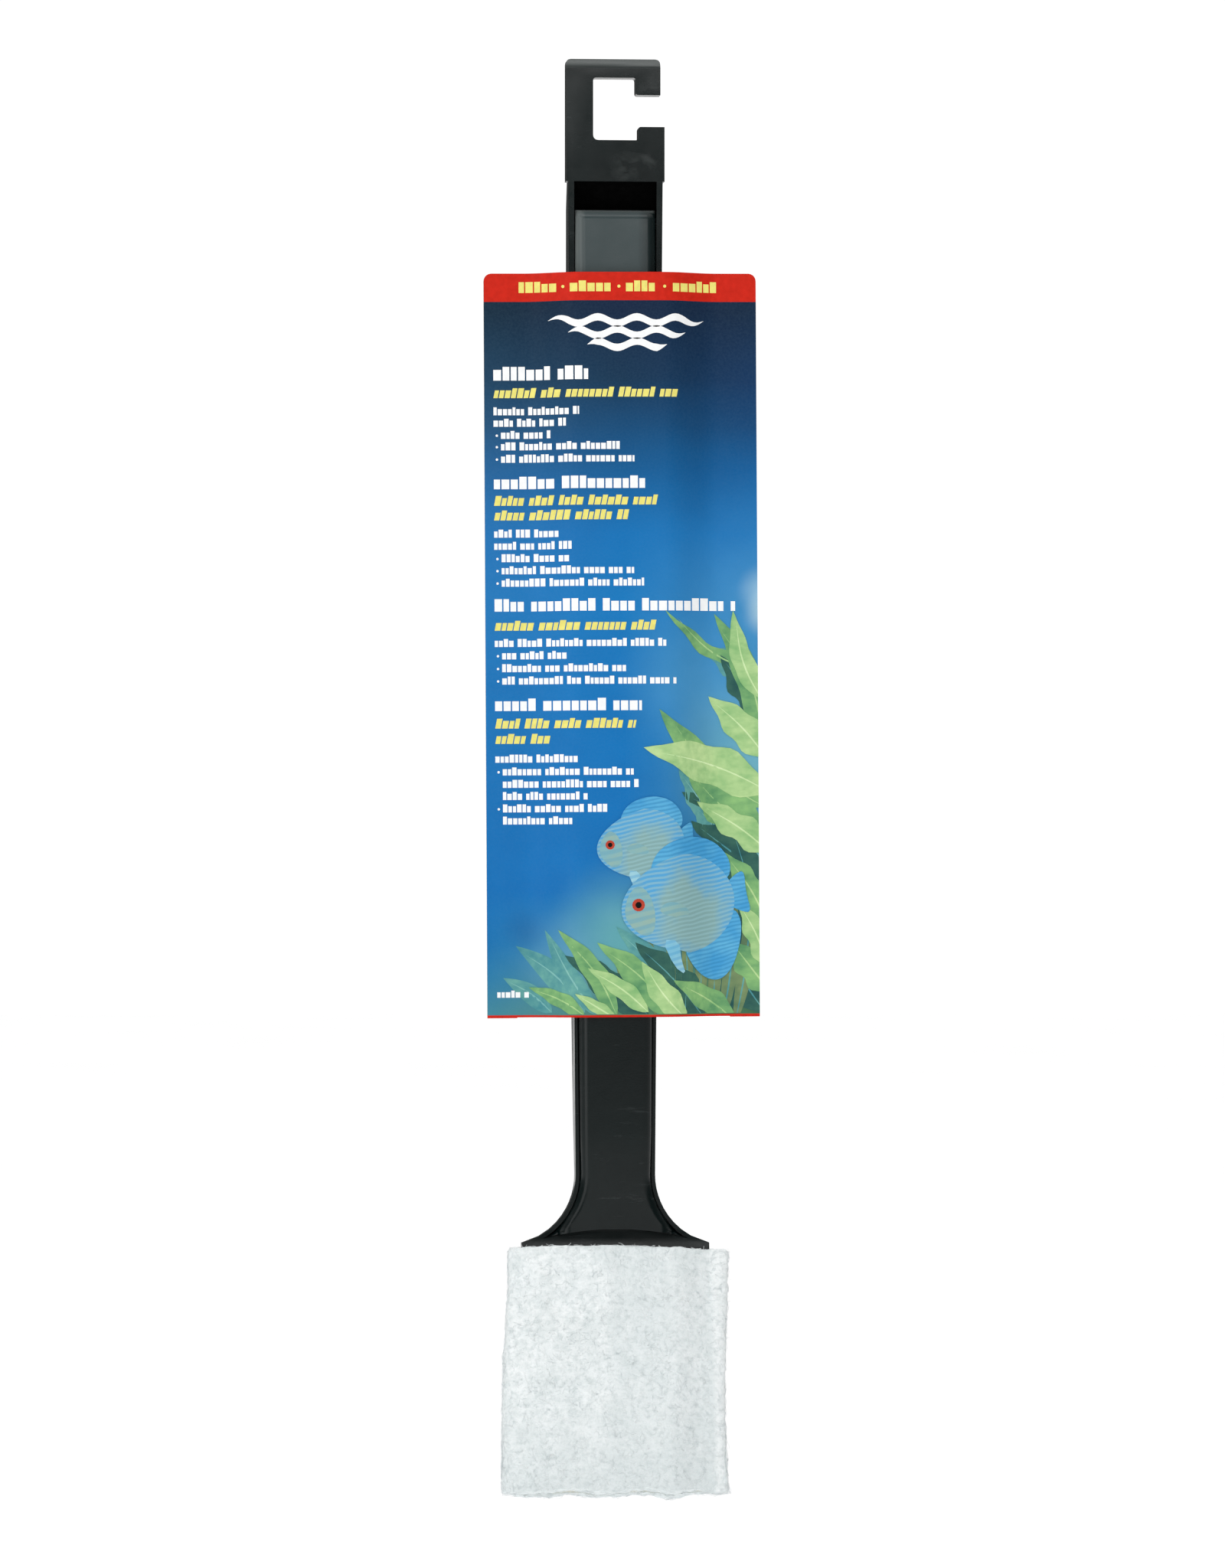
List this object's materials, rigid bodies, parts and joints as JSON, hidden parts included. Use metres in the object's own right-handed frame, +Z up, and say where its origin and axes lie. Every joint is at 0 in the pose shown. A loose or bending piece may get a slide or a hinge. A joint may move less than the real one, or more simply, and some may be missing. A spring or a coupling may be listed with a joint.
{
  "type": "long-handled aquarium algae scrubber",
  "caption": "Slim black handle with a C-shaped hanging hook and a forward-leaning head in a white fleece scrubbing pad, inside a printed card sleeve.",
  "frame": {"origin": "the underside of the hook's upper arm, above the middle of the C-shaped slot, where a peg carries the scrubber", "axes": "+Z up along the handle as it hangs, -Y out of the front that the cover and the printed panel face, +X to the right seen from the front, towards the mouth of the hook"},
  "size_m": [0.0871, 0.0389, 0.4514],
  "materials": {
    "black_plastic": "satin injection moulded",
    "white_fleece": "bonded non-woven fibre",
    "printed_card": "coated and printed",
    "hot_melt_glue": "dried bead"
  },
  "bodies": {
    "handle": {"handle_frame": "black_plastic", "handle_cover": "black_plastic"},
    "sleeve": {"sleeve_card": "printed_card", "sleeve_glue_left": "hot_melt_glue", "sleeve_glue_right": "hot_melt_glue"},
    "pad": {"scrub_pad": "white_fleece", "pad_side_seam": "hot_melt_glue", "pad_end_seam": "hot_melt_glue"}
  },
  "joints": [
    {"name": "sleeve_slide", "type": "slide", "parent": "handle", "child": "sleeve", "axis": [0, 0, 1], "range_m": [-0.045, 0.31]},
    {"name": "pad_slide", "type": "slide", "parent": "handle", "child": "pad", "axis": [0, -0.2588, -0.9659], "range_m": [0, 0.09]}
  ]
}
